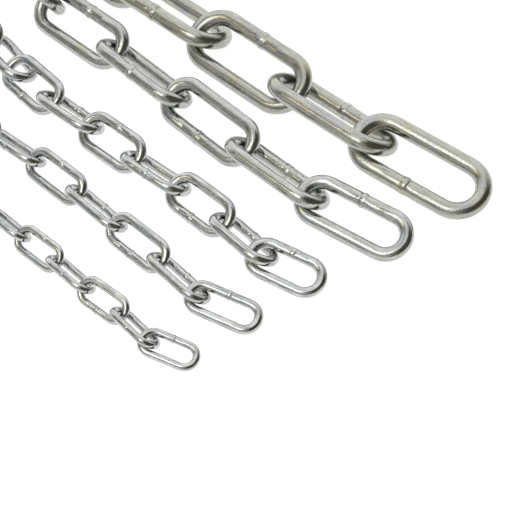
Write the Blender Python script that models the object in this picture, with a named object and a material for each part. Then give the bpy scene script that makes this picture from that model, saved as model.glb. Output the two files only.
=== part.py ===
"""Five 300 mm lengths of welded, bright zinc-plated steel chain laid side by side on the floor.

Units are metres and +Z is up. The origin is the centre of the footprint, on the floor. +X runs along
the chains, towards the end links that lie nearly flat, and the chains are set out along +Y from the
thinnest to the thickest. Every link is one closed ring of round wire and is an object of its own.
A link's own X runs along it, and its own Y runs from one side bar to the other.
"""

import math
from collections import namedtuple

import bmesh
import bpy
from mathutils import Matrix, Vector

MM = 0.001

# Each chain is 300 mm long, to the nearest whole link
SOLD_LENGTH = 300 * MM

# The butt weld leaves a low ring of flash round the middle of one side bar
FLASH_SWELL = 1.1
FLASH_HALF_WIDTH_IN_WIRES = 0.3

# Facets round the wire and along each half-round end
WIRE_SIDES = 8
BEND_STEPS = 8

ROUGHNESS = 0.25
METALLIC = 1.0

# pitch is the inside length of a link and width its outside width. welds gives the side bar with the
# flash, from the end link backwards. laid gives the links as they lie, from the end link backwards:
# centre on the floor in mm, then heading from +X towards +Y and lean about the link's own X, in
# degrees. Only the end link dips its nose. Behind the laid links the last two repeat.
Chain = namedtuple("Chain", "name wire pitch width end_dip welds colour laid")
LEFT, RIGHT = 1, -1
CHAINS = (
    Chain(
        name="chain_2_6mm",
        wire=2.6 * MM,
        pitch=16.2 * MM,
        width=10.5 * MM,
        end_dip=6.7,
        welds=(LEFT, RIGHT, RIGHT, RIGHT),
        colour=(0.72, 0.73, 0.75),
        laid=(
            (7.7, -48.5, 21.5, 10.7),
            (-5.7, -50.5, -4.2, -41.8),
            (-21.2, -50.3, 4.0, 39.1),
            (-36.8, -50.3, -1.5, -40.9),
            (-52.4, -50.4, 2.2, 39.8),
            (-68.0, -50.7, -0.2, -46.2),
            (-83.4, -51.5, 1.0, 42.5),
            (-99.0, -51.2, -0.2, -45.9),
        ),
    ),
    Chain(
        name="chain_3_2mm",
        wire=3.2 * MM,
        pitch=21.4 * MM,
        width=12.5 * MM,
        end_dip=4.9,
        welds=(LEFT, LEFT, RIGHT),
        colour=(0.71, 0.72, 0.74),
        laid=(
            (8.8, -24.7, 19.0, 13.7),
            (-9.6, -27.1, -3.5, -39.9),
            (-30.1, -26.0, 0.2, 36.4),
            (-50.9, -25.6, -1.5, -41.5),
            (-71.4, -25.4, 0.8, 39.7),
            (-92.1, -26.4, 4.5, -42.7),
            (-112.4, -27.8, -3.4, 38.6),
            (-132.5, -27.3, 4.4, -42.7),
        ),
    ),
    Chain(
        name="chain_3_7mm",
        wire=3.7 * MM,
        pitch=22.0 * MM,
        width=15.1 * MM,
        end_dip=4.8,
        welds=(LEFT, LEFT, RIGHT, RIGHT),
        colour=(0.70, 0.71, 0.72),
        laid=(
            (12.4, 1.2, 16.3, 14.5),
            (-5.3, -0.9, -3.1, -34.1),
            (-26.4, -0.1, 0.5, 32.9),
            (-47.3, -1.0, 4.2, -37.9),
            (-68.6, -1.6, 2.4, 34.5),
            (-89.3, -2.3, 3.1, -38.1),
            (-109.6, -2.0, -3.7, 28.0),
            (-126.6, 0.7, -10.1, -28.6),
            (-147.3, 1.8, 0.1, 34.0),
            (-168.4, 1.3, 0.8, -37.5),
        ),
    ),
    Chain(
        name="chain_5mm",
        wire=5 * MM,
        pitch=34.5 * MM,
        width=19 * MM,
        end_dip=2.8,
        welds=(LEFT, LEFT, RIGHT, RIGHT),
        colour=(0.66, 0.66, 0.65),
        laid=(
            (15.2, 31.0, 11.7, 20.9),
            (-16.5, 27.2, 0.7, -36.2),
            (-50.0, 28.1, -1.1, 34.3),
            (-83.5, 28.1, -1.4, -37.4),
            (-116.9, 28.4, 2.0, 35.2),
            (-149.7, 29.9, -5.2, -61.0),
            (-182.4, 30.6, 2.2, 41.9),
            (-216.2, 29.9, -1.0, -40.6),
        ),
    ),
    Chain(
        name="chain_6mm",
        wire=6 * MM,
        pitch=42.5 * MM,
        width=24.5 * MM,
        end_dip=4.7,
        welds=(RIGHT, LEFT, LEFT, RIGHT),
        colour=(0.64, 0.63, 0.59),
        laid=(
            (16.4, 64.1, 10.0, 13.7),
            (-20.5, 59.5, 3.0, -33.4),
            (-60.1, 58.1, 1.7, 28.4),
            (-99.4, 57.0, 2.4, -27.7),
            (-138.1, 57.2, 0.8, 33.5),
        ),
    ),
)


def clear_scene():
    for obj in list(bpy.data.objects):
        bpy.data.objects.remove(obj, do_unlink=True)


def zinc_plating(chain):
    material = bpy.data.materials.new(chain.name + "_zinc")
    material.use_nodes = True
    shader = material.node_tree.nodes["Principled BSDF"]
    shader.inputs["Base Color"].default_value = (*chain.colour, 1.0)
    shader.inputs["Metallic"].default_value = METALLIC
    shader.inputs["Roughness"].default_value = ROUGHNESS
    return material


def link_count(chain):
    return round((SOLD_LENGTH - 2 * chain.wire) / chain.pitch)


def bend_radius(chain):
    """Radius of the wire's centreline round each end of a link."""
    return (chain.width - chain.wire) / 2


def half_length(chain):
    """Distance from a link's centre to the wire's centreline at its nose or its tail."""
    return (chain.pitch + chain.wire) / 2


def corner_radius(chain):
    """Radius to the corners of the faceted wire that has the section area of the round one."""
    facet = 2 * math.pi / WIRE_SIDES
    return chain.wire / 2 * math.sqrt(facet / math.sin(facet))


def add_section(shape, chain, lean, x, side):
    """Draws the wire's section on one side bar, with a facet towards the floor that the bar meets."""
    facet = 2 * math.pi / WIRE_SIDES
    floorward = math.atan2(-math.cos(lean), side * abs(math.sin(lean)))
    corners = []
    for number in range(WIRE_SIDES):
        angle = floorward + (number + 0.5) * facet
        y = side * bend_radius(chain) + corner_radius(chain) * math.cos(angle)
        corners.append(shape.verts.new((x, y, corner_radius(chain) * math.sin(angle))))
    return [shape.edges.new((corners[number - 1], corners[number])) for number in range(WIRE_SIDES)]


def edges_of(geometry):
    return [item for item in geometry if isinstance(item, bmesh.types.BMEdge)]


def bend(shape, edges, x, side):
    """Bends the wire half-way round, onto the side bar named by side, and returns its open end."""
    corners = list({corner for edge in edges for corner in edge.verts})
    spun = bmesh.ops.spin(
        shape,
        geom=corners + edges,
        cent=(x, 0, 0),
        axis=(0, 0, 1),
        angle=side * math.pi,
        steps=BEND_STEPS,
    )
    return edges_of(spun["geom_last"])


def draw_wire(shape, chain, edges, side, distance, swell):
    """Draws the wire on along a side bar, swelling it about the bar's axis, and returns its open end."""
    edges = edges_of(bmesh.ops.extrude_edge_only(shape, edges=edges)["geom"])
    corners = list({corner for edge in edges for corner in edge.verts})
    edges = [edge for edge in edges if all(corner in corners for corner in edge.verts)]
    bmesh.ops.translate(shape, vec=(-distance, 0, 0), verts=corners)
    bmesh.ops.scale(
        shape,
        vec=(1, swell, swell),
        space=Matrix.Translation((0, -side * bend_radius(chain), 0)),
        verts=corners,
    )
    return edges


def link_mesh(chain, lean, weld_side):
    """A ring of wire: two half-round ends, a plain side bar, and one with flash round its middle."""
    straight = half_length(chain) - bend_radius(chain)
    flash = FLASH_HALF_WIDTH_IN_WIRES * chain.wire
    shape = bmesh.new()
    start = add_section(shape, chain, lean, straight, -weld_side)
    end = bend(shape, start, straight, weld_side)
    end = draw_wire(shape, chain, end, weld_side, straight - flash, 1)
    end = draw_wire(shape, chain, end, weld_side, flash, FLASH_SWELL)
    end = draw_wire(shape, chain, end, weld_side, flash, 1 / FLASH_SWELL)
    end = draw_wire(shape, chain, end, weld_side, straight - flash, 1)
    end = bend(shape, end, -straight, weld_side)
    bmesh.ops.bridge_loops(shape, edges=end + start)
    bmesh.ops.recalc_face_normals(shape, faces=shape.faces)
    mesh = bpy.data.meshes.new(chain.name + "_link")
    shape.to_mesh(mesh)
    shape.free()
    mesh.shade_smooth()
    return mesh


def link_turn(heading, dip, lean):
    """Rotation of a link: its heading on the floor, the dip of its nose, and its lean about itself."""
    turn = Matrix.Rotation(heading, 3, "Z") @ Matrix.Rotation(dip, 3, "Y")
    return turn @ Matrix.Rotation(lean, 3, "X")


def add_link(chain, number, mesh, turn, place, holder, material):
    """Stands a link on the floor, on the lowest point that its mesh has in this turn."""
    height = -min((turn @ vertex.co).z for vertex in mesh.vertices)
    mesh.materials.append(material)
    link = bpy.data.objects.new(f"{chain.name}_link_{number + 1:02d}", mesh)
    link.parent = holder
    link.location = (place.x, place.y, height)
    link.rotation_euler = turn.to_euler()
    bpy.context.scene.collection.objects.link(link)


def link_rows(chain):
    """Place, heading and lean of every link, from the end link backwards."""
    rows = list(chain.laid)
    step = [rows[-1][axis] - rows[-3][axis] for axis in (0, 1)]
    while len(rows) < link_count(chain):
        x, y, heading, lean = rows[-2]
        rows.append((x + step[0], y + step[1], heading, lean))
    return rows


def lay_chain(chain, parent):
    """Lays a chain's links on the floor, each with its nose inside the tail of the link ahead."""
    holder = bpy.data.objects.new(chain.name, None)
    holder.parent = parent
    bpy.context.scene.collection.objects.link(holder)
    material = zinc_plating(chain)
    for number, (x, y, heading, lean) in enumerate(link_rows(chain)):
        dip = chain.end_dip if number == 0 else 0
        turn = link_turn(math.radians(heading), math.radians(dip), math.radians(lean))
        mesh = link_mesh(chain, math.radians(lean), chain.welds[number % len(chain.welds)])
        add_link(chain, number, mesh, turn, Vector((x, y, 0)) * MM, holder, material)


def centre_on_origin(holder):
    """Moves the whole set so that its footprint is centred on the origin."""
    bpy.context.view_layer.update()
    corners = [
        obj.matrix_world @ vertex.co
        for obj in bpy.data.objects
        if obj.type == "MESH"
        for vertex in obj.data.vertices
    ]
    for axis in (0, 1):
        places = [corner[axis] for corner in corners]
        holder.location[axis] = -(min(places) + max(places)) / 2


def main():
    clear_scene()
    holder = bpy.data.objects.new("chain_set", None)
    bpy.context.scene.collection.objects.link(holder)
    for chain in CHAINS:
        lay_chain(chain, holder)
    centre_on_origin(holder)


main()
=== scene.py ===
"""Looks of five lengths of welded, bright zinc-plated steel chain, laid side by side on a pale floor.

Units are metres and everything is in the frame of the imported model: +Z up, +X along the chains. Each
link of the solids is replaced by a round, smooth one with its weld, its clamp marks and its plating.
"""

import math
import random
from collections import namedtuple

import bmesh
import bpy
import numpy as np
from mathutils import Matrix, Vector


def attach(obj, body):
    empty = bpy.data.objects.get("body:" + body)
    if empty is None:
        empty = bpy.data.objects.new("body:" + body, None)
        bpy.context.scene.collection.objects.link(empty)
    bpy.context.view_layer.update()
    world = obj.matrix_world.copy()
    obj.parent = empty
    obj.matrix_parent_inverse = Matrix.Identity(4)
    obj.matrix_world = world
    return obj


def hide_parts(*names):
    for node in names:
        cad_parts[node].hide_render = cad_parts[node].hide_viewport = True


MM = 0.001

# The wire, inside length and outside width of each chain's links, as in the solids, and its finish
Chain = namedtuple("Chain", "name wire pitch width finish")
CHAINS = (
    Chain("chain_2_6mm", 2.6 * MM, 16.2 * MM, 10.5 * MM, "zinc_bright"),
    Chain("chain_3_2mm", 3.2 * MM, 21.4 * MM, 12.5 * MM, "zinc_bright"),
    Chain("chain_3_7mm", 3.7 * MM, 22.0 * MM, 15.1 * MM, "zinc_bright"),
    Chain("chain_5mm", 5 * MM, 34.5 * MM, 19 * MM, "zinc_plain"),
    Chain("chain_6mm", 6 * MM, 42.5 * MM, 24.5 * MM, "zinc_warm"),
)

# Facets round the wire and along each bend, for the thick and the thin chains, and cuts across the
# plain side bar
THICK_WIRE = 4 * MM
THICK_WIRE_SIDES = 32
THICK_BEND_STEPS = 22
THIN_WIRE_SIDES = 24
THIN_BEND_STEPS = 16
PLAIN_BAR_CUTS = 14

# The side bar with the weld, from one bend to the other: distance from the weld in wires, and thickness
# as a part of the wire's. A raised collar of flash stands between two sharp grooves.
WELD_BAR = (
    (1.46, 1.0),
    (1.38, 0.985),
    (1.30, 0.99),
    (0.80, 0.99),
    (0.60, 0.99),
    (0.45, 0.99),
    (0.36, 0.99),
    (0.27, 0.985),
    (0.20, 1.015),
    (0.13, 1.05),
    (0.04, 1.075),
    (-0.05, 1.07),
    (-0.11, 1.05),
    (-0.16, 1.02),
    (-0.20, 0.965),
    (-0.26, 0.985),
    (-0.36, 0.99),
    (-0.45, 0.99),
    (-0.60, 0.99),
    (-0.80, 0.99),
    (-1.10, 1.0),
)

# The welding clamps press a flat above and below the wire, at each side of the flash: where it starts
# and ends, in wires from the weld, the level above the wire's axis, in radii, from which the crown is
# pressed, and the part of the crown that is left
CLAMP_REACH = (0.34, 1.4)
CLAMP_LEVEL = 0.9
CLAMP_CROWN = 0.4

# Drawn wire isn't quite straight, and flash is uneven round it. Reach, size and depth are in wires.
FLASH_REACH = 0.4
Lumps = namedtuple("Lumps", "points size depth")
UNEVENNESS = (
    Lumps(points="", size=1.6, depth=0.012),
    Lumps(points="flash", size=0.28, depth=0.09),
)

# Decimals of a metre that tell a solid's corners apart
CORNER_DECIMALS = 7

# Each link takes its drawing lines from a random place of its own along a drawn length
DRAWN_LENGTH = 1.0
SEED = 11

# Real drawing lines are a few hundredths of a millimetre wide: each finish has them wider, to show
LINE_LENGTH = 5 * MM
LINE_DEPTH = 0.035 * MM
FROST_GRAIN = 0.5 * MM
FROST_DEPTH = 0.05 * MM
FINE_NOISE = {"Detail": 2.0, "Roughness": 0.6}

# The hue drifts slowly, in cloudy patches
HUE_DRIFT = 9 * MM
CLOUDY_NOISE = {"Detail": 3.0, "Roughness": 0.6, "Distortion": 0.6}

# Levels of noise where the hue is bluish, where it is plain, from and to, and where it is straw
COOL_LEVEL, PALE_FROM, PALE_TO, STRAW_LEVEL = 0.36, 0.48, 0.62, 0.70

# Levels of noise from the dark and rough side of a drawing line to its pale and smooth side
SHADE_LEVELS = (0.3, 0.65)
POLISH_LEVELS = (0.3, 0.7)

# Frosting darkens the zinc over one range of noise, down to a shade, and roughens it over another
PIT_LEVELS = (0.56, 0.68)
PIT_SHADE = 0.68
FROST_LEVELS = (0.4, 0.7)
FROST_ROUGHNESS = 0.06

# Painted shade in the groove beside the flash, a dark line where its shadow falls: distance from the
# weld in wires, and shade
PAINTED_GROOVE_SHADES = ((0.0, 1.0), (0.17, 1.0), (0.215, 0.7), (0.26, 1.0))

# Hues are sRGB. straw_share widens the straw patches, in levels of noise. streak_shade is what a
# drawing line leaves of the hue, rough the roughness of its smooth and rough side, and relief how
# much of the bump shows.
Finish = namedtuple(
    "Finish", "material pale cool straw straw_share line_width streak_shade rough relief"
)
FINISHES = {
    # Bluish and glossy, with strong dark lines
    "zinc_bright": Finish(
        material="bright_zinc_plate_blue",
        pale="#D2D4D2",
        cool="#CED2D4",
        straw="#D2D2C4",
        straw_share=0.0,
        line_width=0.6 * MM,
        streak_shade=0.5,
        rough=(0.03, 0.07),
        relief=0.55,
    ),
    # Neutral grey and a little frosted, with clear lines
    "zinc_plain": Finish(
        material="bright_zinc_plate_plain",
        pale="#C5C7C2",
        cool="#C2C5C4",
        straw="#C4C4B1",
        straw_share=0.01,
        line_width=0.55 * MM,
        streak_shade=0.62,
        rough=(0.05, 0.14),
        relief=0.9,
    ),
    # Satin with straw patches and faint lines
    "zinc_warm": Finish(
        material="bright_zinc_plate_warm",
        pale="#BABAB0",
        cool="#B6B6B8",
        straw="#BAB89A",
        straw_share=0.02,
        line_width=0.55 * MM,
        streak_shade=0.71,
        rough=(0.08, 0.2),
        relief=1.0,
    ),
}

# The camera stands over the end links. It looks along +Y, turned by its heading towards -X, and down
# by its elevation. The first value is where the middle of the thickest chain's end link lies, seen
# from the place on the floor that the camera looks at. Lens and sensor are in millimetres.
END_LINK_PLACE = Vector((16.57, 63.92, 0)) * MM
HEADING = math.radians(44)
ELEVATION = math.radians(51.9)
DISTANCE = 608.5 * MM
LENS = 127.4
SENSOR = 36.0
CLIP_START, CLIP_END = 0.05, 30.0

# Plain pale floor that glows a little, as a light table does, so shadows on it stay faint
FLOOR_SIZE = 10.0
FLOOR_COLOUR = "#8C8C8C"
FLOOR_ROUGHNESS = 0.9
FLOOR_GLOW = 0.9

# Studio walls round the compass: bearing in degrees from the far side, clockwise as seen from above,
# and radiance. White paper stands behind the chains, and the room is dark on the right and in front.
# On the left is a narrow dark gap.
STUDIO_WALLS = (
    (0, 1.25),
    (30, 1.2),
    (50, 1.0),
    (62, 0.6),
    (76, 0.2),
    (90, 0.08),
    (125, 0.12),
    (155, 0.1),
    (172, 0.3),
    (190, 0.55),
    (225, 0.6),
    (244, 0.64),
    (252, 0.58),
    (259, 0.46),
    (264, 0.3),
    (271, 0.3),
    (278, 0.52),
    (286, 0.8),
    (294, 0.95),
    (306, 1.15),
    (330, 1.25),
    (360, 1.25),
)

# Walls dimmer than this radiance take on the tint, the darker the more
NEUTRAL_RADIANCE = 0.6
DARK_TINT = (1.0, 0.95, 0.72)

# The ceiling's radiance, and the sines of elevation where it starts and where it is full
CEILING = 1.1
CEILING_START, CEILING_END = 0.88, 0.985

# Soft lights, each by its direction from the chains as the camera sees it: right, away and up. The
# warm strip beside the key light draws a thin glint along the bars.
LIGHT_DISTANCE = 1.6
Softbox = namedtuple("Softbox", "name toward width height radiance colour")
SOFTBOXES = (
    Softbox(
        name="key_softbox",
        toward=(-0.36, -0.428, 0.829),
        width=0.89,
        height=0.95,
        radiance=1.8,
        colour="#FFFFFF",
    ),
    Softbox(
        name="warm_strip",
        toward=(-0.67, -0.18, 0.72),
        width=0.22,
        height=0.42,
        radiance=2.6,
        colour="#FFF1B0",
    ),
)

# Places of a Mix node's sockets, when it mixes colours
MIX_FACTOR, MIX_A, MIX_B, MIX_RESULT = 0, 6, 7, 2

random.seed(SEED)

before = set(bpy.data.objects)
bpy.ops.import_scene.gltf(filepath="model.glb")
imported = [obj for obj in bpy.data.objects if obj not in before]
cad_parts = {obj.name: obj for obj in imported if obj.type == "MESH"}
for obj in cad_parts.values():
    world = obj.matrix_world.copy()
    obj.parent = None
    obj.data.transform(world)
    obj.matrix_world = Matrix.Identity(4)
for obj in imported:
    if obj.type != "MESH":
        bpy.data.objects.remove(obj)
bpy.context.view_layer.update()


def srgb(code):
    """Linear colour of an sRGB hex value."""
    channels = [int(code[start : start + 2], 16) / 255 for start in (1, 3, 5)]
    linear = [c / 12.92 if c <= 0.04045 else ((c + 0.055) / 1.055) ** 2.4 for c in channels]
    return (*linear, 1.0)


def grey(value):
    return (value, value, value, 1.0)


def add_node(tree, kind, inputs=None, **settings):
    """Adds a node with its settings. Each input is a value, or a link from another node's output."""
    node = tree.nodes.new(kind)
    for setting, value in settings.items():
        setattr(node, setting, value)
    for socket, value in (inputs or {}).items():
        if isinstance(value, bpy.types.NodeSocket):
            tree.links.new(value, node.inputs[socket])
        else:
            node.inputs[socket].default_value = value
    return node


def set_ramp(node, stops):
    """Colours of a ramp, as pairs of place and linear colour."""
    ramp = node.color_ramp
    while len(ramp.elements) < len(stops):
        ramp.elements.new(1.0)
    for element, (place, colour) in zip(ramp.elements, stops):
        element.position = place
        element.color = colour
    return node


def map_levels(tree, value, levels, results):
    """Maps a value from a pair of levels onto a pair of results, and holds it beyond them."""
    inputs = {
        "Value": value,
        "From Min": levels[0],
        "From Max": levels[1],
        "To Min": results[0],
        "To Max": results[1],
    }
    return add_node(tree, "ShaderNodeMapRange", inputs).outputs[0]


def zinc_plating(finish):
    """Bright zinc electroplate on drawn steel wire, under a clear passivate film.

    The eye gets a silvery mirror broken by the wire's drawing lines, fine frosting of the plated zinc,
    and a slow drift of hue from bluish to straw, where the film is thinner or thicker.
    """
    material = bpy.data.materials.new(finish.material)
    material.use_nodes = True
    tree = material.node_tree
    shader = tree.nodes["Principled BSDF"]
    wire = add_node(tree, "ShaderNodeAttribute", attribute_name="wire").outputs["Vector"]
    place = add_node(tree, "ShaderNodeTexCoord").outputs["Object"]
    weld = add_node(tree, "ShaderNodeAttribute", attribute_name="weld_distance").outputs["Fac"]

    # Patterns: drawing lines that follow the wire, frosting, and the drift of the hue
    across = 1 / finish.line_width
    stretched = add_node(
        tree, "ShaderNodeMapping", {"Vector": wire, "Scale": (1 / LINE_LENGTH, across, across)}
    )
    lines = add_node(
        tree, "ShaderNodeTexNoise", {"Vector": stretched.outputs[0], "Scale": 1.0, **FINE_NOISE}
    ).outputs["Fac"]
    frost = add_node(
        tree, "ShaderNodeTexNoise", {"Vector": place, "Scale": 1 / FROST_GRAIN, **FINE_NOISE}
    ).outputs["Fac"]
    drift = add_node(
        tree, "ShaderNodeTexNoise", {"Vector": place, "Scale": 1 / HUE_DRIFT, **CLOUDY_NOISE}
    ).outputs["Fac"]

    # Colour: the hue, darkened by the lines and the frosting, and by painted shade in the grooves
    # beside the flash
    pale = srgb(finish.pale)
    hue = set_ramp(
        add_node(tree, "ShaderNodeValToRGB", {"Fac": drift}),
        (
            (COOL_LEVEL, srgb(finish.cool)),
            (PALE_FROM, pale),
            (PALE_TO - finish.straw_share, pale),
            (STRAW_LEVEL - finish.straw_share, srgb(finish.straw)),
        ),
    )
    streaks = map_levels(tree, lines, SHADE_LEVELS, (finish.streak_shade, 1.0))
    pits = map_levels(tree, frost, PIT_LEVELS, (1.0, PIT_SHADE))
    # Painted shade: a dark line in each groove beside the flash, standing in for its shadow
    painted_groove_shade = set_ramp(
        add_node(tree, "ShaderNodeValToRGB", {"Fac": weld}),
        [(distance, grey(shade)) for distance, shade in PAINTED_GROOVE_SHADES],
    )
    colour = hue.outputs["Color"]
    for shade in (streaks, pits, painted_groove_shade.outputs["Color"]):
        mixed = add_node(
            tree,
            "ShaderNodeMix",
            {MIX_FACTOR: 1.0, MIX_A: colour, MIX_B: shade},
            data_type="RGBA",
            blend_type="MULTIPLY",
        )
        colour = mixed.outputs[MIX_RESULT]
    tree.links.new(colour, shader.inputs["Base Color"])
    shader.inputs["Metallic"].default_value = 1.0

    # Roughness of the drawn wire, and what the frosting adds to it
    smooth, rough = finish.rough
    drawn = map_levels(tree, lines, POLISH_LEVELS, (rough, smooth))
    frosted = map_levels(tree, frost, FROST_LEVELS, (0.0, FROST_ROUGHNESS))
    total = add_node(tree, "ShaderNodeMath", {0: drawn, 1: frosted}, operation="ADD")
    tree.links.new(total.outputs[0], shader.inputs["Roughness"])

    # Bump: the lines first, and the frosting on them
    scratched = add_node(
        tree, "ShaderNodeBump", {"Height": lines, "Strength": finish.relief, "Distance": LINE_DEPTH}
    )
    bumped = add_node(
        tree,
        "ShaderNodeBump",
        {
            "Height": frost,
            "Strength": finish.relief,
            "Distance": FROST_DEPTH,
            "Normal": scratched.outputs[0],
        },
    )
    tree.links.new(bumped.outputs[0], shader.inputs["Normal"])
    return material


def bend_radius(chain):
    """Radius of the wire's centreline round each end of a link."""
    return (chain.width - chain.wire) / 2


def straight(chain):
    """Half the length of a side bar, from its middle to where the bend starts."""
    return (chain.pitch + chain.wire) / 2 - bend_radius(chain)


def wire_sides(chain):
    return THICK_WIRE_SIDES if chain.wire > THICK_WIRE else THIN_WIRE_SIDES


def bend_steps(chain):
    return THICK_BEND_STEPS if chain.wire > THICK_WIRE else THIN_BEND_STEPS


def bend_wire(chain, x):
    """Bends the open end half-way round, anticlockwise, onto the other side bar."""
    bpy.ops.mesh.spin(steps=bend_steps(chain), angle=-math.pi, center=(x, 0, 0), axis=(0, 0, 1))


def draw_wire(chain, start, end, swell):
    """Draws the open end along the welded side bar to a new place and thickness."""
    bpy.ops.mesh.extrude_edges_move(TRANSFORM_OT_translate={"value": (end - start, 0, 0)})
    bpy.ops.transform.resize(value=(1, swell, swell), center_override=(end, bend_radius(chain), 0))


def close_ring(link):
    """Joins the wire's two open ends with the plain side bar."""
    shape = bmesh.from_edit_mesh(link.data)
    for edge in shape.edges:
        edge.select = edge.is_boundary
    bmesh.update_edit_mesh(link.data)
    bpy.ops.mesh.bridge_edge_loops(number_cuts=PLAIN_BAR_CUTS)
    bpy.ops.mesh.select_all(action="SELECT")
    bpy.ops.mesh.normals_make_consistent(inside=False)


def press_flat(chain, link, up):
    """Presses the crown of the wire beside the weld down to a flat, above (1) or below (-1) it."""
    bpy.ops.mesh.select_mode(type="VERT")
    bpy.ops.mesh.select_all(action="DESELECT")
    level = CLAMP_LEVEL * chain.wire / 2
    near, far = (reach * chain.wire for reach in CLAMP_REACH)
    shape = bmesh.from_edit_mesh(link.data)
    for vertex in shape.verts:
        x, y, z = vertex.co
        vertex.select = y > 0 and near <= abs(x) <= far and z * up > level
    shape.select_flush_mode()
    bmesh.update_edit_mesh(link.data)
    bpy.ops.transform.resize(value=(1, 1, CLAMP_CROWN), center_override=(0, 0, up * level))


def model_link(chain):
    """One link, lying flat, with its weld in the middle of the side bar at +Y."""
    x = straight(chain)
    bpy.ops.object.select_all(action="DESELECT")
    bpy.ops.mesh.primitive_circle_add(
        vertices=wire_sides(chain),
        radius=chain.wire / 2,
        location=(x, -bend_radius(chain), 0),
        rotation=(0, math.pi / 2, 0),
    )
    link = bpy.context.object
    bpy.ops.object.transform_apply(location=True, rotation=True, scale=False)
    bpy.ops.object.mode_set(mode="EDIT")
    bpy.ops.mesh.select_mode(type="EDGE")
    bpy.ops.mesh.select_all(action="SELECT")
    bend_wire(chain, x)
    place, thick = x, 1.0
    for distance, thickness in WELD_BAR:
        draw_wire(chain, place, distance * chain.wire, thickness / thick)
        place, thick = distance * chain.wire, thickness
    draw_wire(chain, place, -x, 1 / thick)
    bend_wire(chain, -x)
    close_ring(link)
    for up in (1, -1):
        press_flat(chain, link, up)
    bpy.ops.object.mode_set(mode="OBJECT")
    bpy.ops.object.shade_smooth()
    record_wire_places(chain, link)
    return link


def wire_place(chain, point):
    """Where a point of the flat link was on the wire before it was bent.

    The first number runs along the wire from the weld, both ways, and the other two across it.
    """
    x, radius = straight(chain), bend_radius(chain)
    bend = math.pi * radius
    length = 4 * x + 2 * bend
    if abs(point.x) <= x:
        along = point.x if point.y > 0 else 2 * x + bend - point.x
        out = abs(point.y) - radius
    else:
        middle = math.copysign(x, point.x)
        angle = math.atan2(abs(point.x - middle), point.y)
        along = middle + math.copysign(angle * radius, point.x)
        out = math.hypot(point.x - middle, point.y) - radius
    return min(along % length, -along % length), out, point.z


def record_wire_places(chain, link):
    """Stores each point's place on the wire, for patterns that follow it, and marks the flash.

    The weld distance is counted in wires, so that every chain reads the same ramp.
    """
    places = [wire_place(chain, vertex.co) for vertex in link.data.vertices]
    distances = [along / chain.wire for along, out, up in places]
    wire = link.data.attributes.new("wire", "FLOAT_VECTOR", "POINT")
    wire.data.foreach_set("vector", [number for place in places for number in place])
    weld = link.data.attributes.new("weld_distance", "FLOAT", "POINT")
    weld.data.foreach_set("value", distances)
    flash = link.vertex_groups.new(name="flash")
    near = [number for number, distance in enumerate(distances) if distance < FLASH_REACH]
    flash.add(near, 1.0, "REPLACE")


def link_place(node, chain):
    """Turn and centre of a link's solid: X along it, Y to the side bar with the weld, Z upwards."""
    corners = np.array([vertex.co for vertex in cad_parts[node].data.vertices])
    corners = np.unique(np.round(corners, CORNER_DECIMALS), axis=0)
    middle = corners.mean(axis=0)

    # A link is longest along itself and thinnest upwards
    directions = np.linalg.eigh(np.cov((corners - middle).T))[1]
    along, up = directions[:, 2], directions[:, 0]
    along *= np.sign(along[0])
    up *= np.sign(up[2])
    axes = np.array((along, np.cross(up, along), up))

    # Its bends give the centre, and its flash pulls the mean of its corners to the welded side bar
    seen = (corners - middle) @ axes.T
    bends = seen[np.abs(seen[:, 0]) > straight(chain)]
    centre = (bends.min(axis=0) + bends.max(axis=0)) / 2
    welded_side = 1.0 if seen[:, 1].mean() > centre[1] else -1.0
    middle = middle + centre @ axes
    axes[:2] *= welded_side
    matrix = Matrix([list(row) for row in axes.T]).to_4x4()
    matrix.translation = Vector(middle)
    return matrix


def shift_lines(link, distance):
    """Moves the drawing lines along the wire, so that no two links have the same ones."""
    wire = link.data.attributes["wire"]
    values = np.empty(len(wire.data) * 3, dtype=np.float32)
    wire.data.foreach_get("vector", values)
    values[0::3] += distance
    wire.data.foreach_set("vector", values)


def roughen(link, chain):
    """Makes the wire and its flash a little uneven, each link in its own way, and applies it."""
    for lumps in UNEVENNESS:
        texture = bpy.data.textures.new("lumps", "CLOUDS")
        texture.noise_scale = lumps.size * chain.wire
        displace = link.modifiers.new("uneven", "DISPLACE")
        displace.texture = texture
        displace.texture_coords = "GLOBAL"
        displace.strength = lumps.depth * chain.wire
        displace.vertex_group = lumps.points
        bpy.context.view_layer.objects.active = link
        bpy.ops.object.modifier_apply(modifier=displace.name)
        bpy.data.textures.remove(texture)


def lay_link(master, chain, node, plating):
    """A copy of the chain's link in the place of one solid, standing on the floor as that one does."""
    link = master.copy()
    link.name = node + "_plated"
    link.data = master.data.copy()
    bpy.context.scene.collection.objects.link(link)
    link.data.transform(link_place(node, chain))
    shift_lines(link, random.uniform(0, DRAWN_LENGTH))
    roughen(link, chain)
    lowest = min(vertex.co.z for vertex in link.data.vertices)
    link.data.transform(Matrix.Translation((0, 0, -lowest)))
    link.data.materials.clear()
    link.data.materials.append(plating)
    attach(link, "root")
    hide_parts(node)


def lay_chains():
    """Models each chain's link once, and lays a copy of it in the place of each of its solids."""
    platings = {slot: zinc_plating(finish) for slot, finish in FINISHES.items()}
    for chain in CHAINS:
        master = model_link(chain)
        for node in sorted(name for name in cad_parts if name.startswith(chain.name + "_")):
            lay_link(master, chain, node, platings[chain.finish])
        bpy.data.objects.remove(master)


def view_middle():
    """The place on the floor that the camera looks at."""
    middle = link_place("chain_6mm_link_01", CHAINS[-1]).translation - END_LINK_PLACE
    middle.z = 0
    return middle


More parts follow.
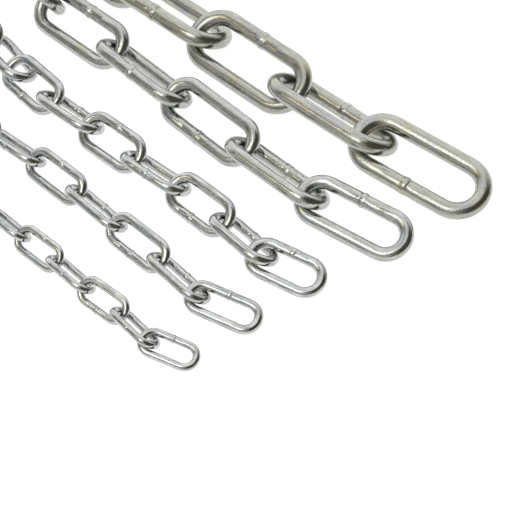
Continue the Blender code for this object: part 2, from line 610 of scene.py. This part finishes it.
def place_camera(target):
    back = Vector(
        (
            math.sin(HEADING) * math.cos(ELEVATION),
            -math.cos(HEADING) * math.cos(ELEVATION),
            math.sin(ELEVATION),
        )
    )
    bpy.ops.object.camera_add(location=target + DISTANCE * back)
    camera = bpy.context.object
    camera.rotation_euler = (-back).to_track_quat("-Z", "Y").to_euler()
    camera.data.lens = LENS
    camera.data.sensor_width = SENSOR
    camera.data.clip_start = CLIP_START
    camera.data.clip_end = CLIP_END
    bpy.context.scene.camera = camera


def lay_floor():
    """A matt opal sheet lit from below: white to the eye, with no gloss and hardly a shadow."""
    bpy.ops.object.select_all(action="DESELECT")
    bpy.ops.mesh.primitive_plane_add(size=FLOOR_SIZE, location=(0, 0, 0))
    floor = bpy.context.object
    floor.name = "floor"
    light_table = bpy.data.materials.new("matt_opal_light_table")
    light_table.use_nodes = True
    sheet = light_table.node_tree.nodes["Principled BSDF"].inputs
    sheet["Base Color"].default_value = srgb(FLOOR_COLOUR)
    sheet["Roughness"].default_value = FLOOR_ROUGHNESS
    sheet["Specular IOR Level"].default_value = 0.0
    sheet["Emission Color"].default_value = grey(1.0)
    sheet["Emission Strength"].default_value = FLOOR_GLOW
    floor.data.materials.append(light_table)


def wall_colour(radiance):
    """Dark parts of the room are a little brown."""
    pale = min(radiance / NEUTRAL_RADIANCE, 1.0)
    return tuple(radiance * (pale + (1 - pale) * tint) for tint in DARK_TINT) + (1.0,)


def light_room():
    """Surrounds the chains with the studio's walls and ceiling, turned to the camera's heading."""
    world = bpy.data.worlds.new("studio")
    bpy.context.scene.world = world
    world.use_nodes = True
    tree = world.node_tree
    tree.nodes.clear()
    direction = add_node(tree, "ShaderNodeTexCoord").outputs["Generated"]
    turned = add_node(tree, "ShaderNodeMapping", {"Vector": direction, "Rotation": (0, 0, -HEADING)})
    split = add_node(tree, "ShaderNodeSeparateXYZ", {"Vector": turned.outputs[0]})

    # Bearing from the far side, from 0 to a full turn, and its share of the turn
    bearing = add_node(
        tree, "ShaderNodeMath", {0: split.outputs["X"], 1: split.outputs["Y"]}, operation="ARCTAN2"
    )
    wrapped = add_node(
        tree, "ShaderNodeMath", {0: bearing.outputs[0], 1: 2 * math.pi, 2: 0.0}, operation="WRAP"
    )
    share = add_node(
        tree, "ShaderNodeMath", {0: wrapped.outputs[0], 1: 2 * math.pi}, operation="DIVIDE"
    )
    walls = set_ramp(
        add_node(tree, "ShaderNodeValToRGB", {"Fac": share.outputs[0]}),
        [(degrees / 360, wall_colour(radiance)) for degrees, radiance in STUDIO_WALLS],
    )
    overhead = add_node(
        tree,
        "ShaderNodeMapRange",
        {"Value": split.outputs["Z"], "From Min": CEILING_START, "From Max": CEILING_END},
        interpolation_type="SMOOTHSTEP",
    )
    room = add_node(
        tree,
        "ShaderNodeMix",
        {MIX_FACTOR: overhead.outputs[0], MIX_A: walls.outputs["Color"], MIX_B: grey(CEILING)},
        data_type="RGBA",
    )
    background = add_node(tree, "ShaderNodeBackground", {"Color": room.outputs[MIX_RESULT]})
    add_node(tree, "ShaderNodeOutputWorld", {"Surface": background.outputs[0]})


def add_softbox(softbox, target):
    """A soft light that faces the chains, with the power that gives it its radiance."""
    right = Vector((math.cos(HEADING), math.sin(HEADING), 0))
    away = Vector((-math.sin(HEADING), math.cos(HEADING), 0))
    up = Vector((0, 0, 1))
    toward = softbox.toward
    direction = (right * toward[0] + away * toward[1] + up * toward[2]).normalized()
    light = bpy.data.lights.new(softbox.name, "AREA")
    light.shape = "RECTANGLE"
    light.size = softbox.width
    light.size_y = softbox.height
    light.energy = softbox.radiance * math.pi * softbox.width * softbox.height
    light.color = srgb(softbox.colour)[:3]
    lamp = bpy.data.objects.new(softbox.name, light)
    lamp.location = target + direction * LIGHT_DISTANCE
    lamp.rotation_euler = direction.to_track_quat("Z", "Y").to_euler()
    bpy.context.scene.collection.objects.link(lamp)


lay_chains()
target = view_middle()
place_camera(target)
lay_floor()
light_room()
for softbox in SOFTBOXES:
    add_softbox(softbox, target)

# Tones as they are rendered, with no film look
view = bpy.context.scene.view_settings
view.view_transform = "Standard"
view.look = "None"
